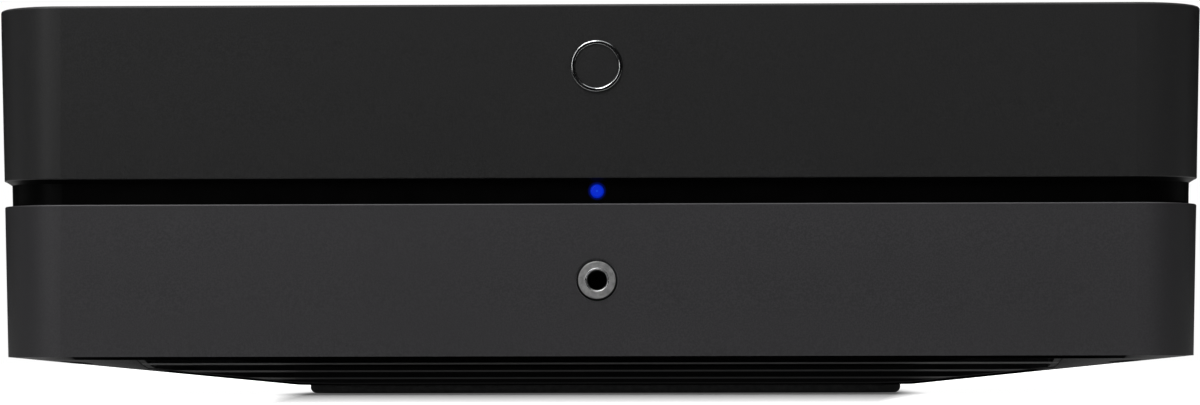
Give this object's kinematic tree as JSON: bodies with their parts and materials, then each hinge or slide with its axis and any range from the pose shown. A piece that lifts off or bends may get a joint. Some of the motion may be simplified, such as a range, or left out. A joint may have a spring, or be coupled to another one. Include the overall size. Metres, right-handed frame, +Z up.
{
  "type": "streaming amplifier",
  "caption": "Low square streaming amplifier: two drafted shells round a black waist band, front headphone socket, status light, recessed rear sockets and screw-down speaker posts.",
  "frame": {"origin": "centre of the foot pad's resting face", "axes": "+X to the right seen from the front, the front faces -Y, +Z up"},
  "size_m": [0.22, 0.1901, 0.0705],
  "materials": {
    "upper_case": "fine matte charcoal",
    "lower_case": "fine matte charcoal, a shade lighter",
    "gloss_black": "polished black",
    "vent_black": "matte black",
    "foot_rubber": "matte black rubber",
    "panel_black": "fine textured black",
    "bright_trim": "polished",
    "status_light": "glowing blue lens",
    "black_screw": "blackened",
    "jack_ring": "turned face",
    "socket_plastic": "moulded black",
    "circuit_board": "green solder mask",
    "ribbon_cable": "white film",
    "chassis_steel": "zinc plated",
    "plated_brass": "nickel plated",
    "plated_steel": "nickel plated",
    "lead_black": "black jacket",
    "ferrite": "dark ferrite",
    "chip_black": "moulded epoxy",
    "sink_aluminium": "extruded",
    "winding_tape": "yellow tape over copper",
    "capacitor_sleeve": "dark blue sleeve",
    "copper_wire": "enamelled copper",
    "fuse_glass": "glass tube",
    "lead_red": "red jacket",
    "lead_brown": "brown jacket",
    "insulator_plastic": "coloured insulator",
    "gold_brass": "gold plated",
    "post_plastic": "moulded black",
    "cap_red": "moulded black with a red band",
    "cap_black": "moulded black with a black band"
  },
  "bodies": {
    "case": {"upper_shell": "upper_case", "lower_shell": "lower_case", "waist_band": "gloss_black", "front_vent_grille": "vent_black", "rear_vent_grille": "vent_black", "foot_pad": "foot_rubber", "rear_panel": "panel_black", "touch_window": "gloss_black", "case_screws": "black_screw", "front_badge": "bright_trim", "status_light_lens": "status_light", "panel_screws": "black_screw", "headphone_jack_ring": "jack_ring", "headphone_jack_body": "socket_plastic", "light_board": "circuit_board", "headphone_board": "circuit_board", "touch_board": "circuit_board", "front_ribbons": "ribbon_cable", "chassis_plate": "chassis_steel", "board_standoffs": "plated_brass", "board_screws": "plated_steel", "main_board": "circuit_board", "processor_shield": "plated_steel", "wireless_module": "plated_steel", "antennas": "circuit_board", "antenna_leads": "lead_black", "amplifier_board": "circuit_board", "output_inductors": "ferrite", "amplifier_chips": "chip_black", "heat_sink": "sink_aluminium", "power_board": "circuit_board", "transformer_core": "ferrite", "transformer_winding": "winding_tape", "bulk_capacitors": "capacitor_sleeve", "output_capacitors": "capacitor_sleeve", "mains_choke": "copper_wire", "mains_fuse": "fuse_glass", "dc_harness": "lead_red", "inlet_wires": "lead_brown", "speaker_straps": "plated_brass", "mains_inlet_housing": "socket_plastic", "mains_inlet_pins": "plated_steel", "lan_socket_shell": "plated_steel", "lan_socket_insert": "socket_plastic", "usb_socket_shell": "plated_steel", "video_socket_shell": "plated_steel", "socket_tongues": "socket_plastic", "minijack_sockets": "socket_plastic", "subwoofer_socket": "plated_brass", "subwoofer_insulator": "insulator_plastic", "post_studs": "gold_brass", "post_collars": "post_plastic"},
    "cap_washer_1": {"post_washer_1": "gold_brass"},
    "cap_1": {"post_knob_1": "cap_red"},
    "cap_washer_2": {"post_washer_2": "gold_brass"},
    "cap_2": {"post_knob_2": "cap_black"},
    "cap_washer_3": {"post_washer_3": "gold_brass"},
    "cap_3": {"post_knob_3": "cap_red"},
    "cap_washer_4": {"post_washer_4": "gold_brass"},
    "cap_4": {"post_knob_4": "cap_black"}
  },
  "joints": [
    {"name": "cap_travel_1", "type": "slide", "parent": "case", "child": "cap_washer_1", "axis": [0, 1, 0], "range_m": [0, 0.004]},
    {"name": "cap_turn_1", "type": "hinge", "parent": "cap_washer_1", "child": "cap_1", "pos_m": [0.066, 0.0832, 0.046], "axis": [0, 1, 0], "range_deg": [0, 1440]},
    {"name": "cap_travel_2", "type": "slide", "parent": "case", "child": "cap_washer_2", "axis": [0, 1, 0], "range_m": [0, 0.004]},
    {"name": "cap_turn_2", "type": "hinge", "parent": "cap_washer_2", "child": "cap_2", "pos_m": [0.047, 0.0832, 0.046], "axis": [0, 1, 0], "range_deg": [0, 1440]},
    {"name": "cap_travel_3", "type": "slide", "parent": "case", "child": "cap_washer_3", "axis": [0, 1, 0], "range_m": [0, 0.004]},
    {"name": "cap_turn_3", "type": "hinge", "parent": "cap_washer_3", "child": "cap_3", "pos_m": [0.009, 0.0832, 0.046], "axis": [0, 1, 0], "range_deg": [0, 1440]},
    {"name": "cap_travel_4", "type": "slide", "parent": "case", "child": "cap_washer_4", "axis": [0, 1, 0], "range_m": [0, 0.004]},
    {"name": "cap_turn_4", "type": "hinge", "parent": "cap_washer_4", "child": "cap_4", "pos_m": [-0.01, 0.0832, 0.046], "axis": [0, 1, 0], "range_deg": [0, 1440]}
  ],
  "couplings": [
    {"joint": "cap_turn_1", "follows": "cap_travel_1", "rad_per_m": 6283.2},
    {"joint": "cap_turn_2", "follows": "cap_travel_2", "rad_per_m": 6283.2},
    {"joint": "cap_turn_3", "follows": "cap_travel_3", "rad_per_m": 6283.2},
    {"joint": "cap_turn_4", "follows": "cap_travel_4", "rad_per_m": 6283.2}
  ]
}
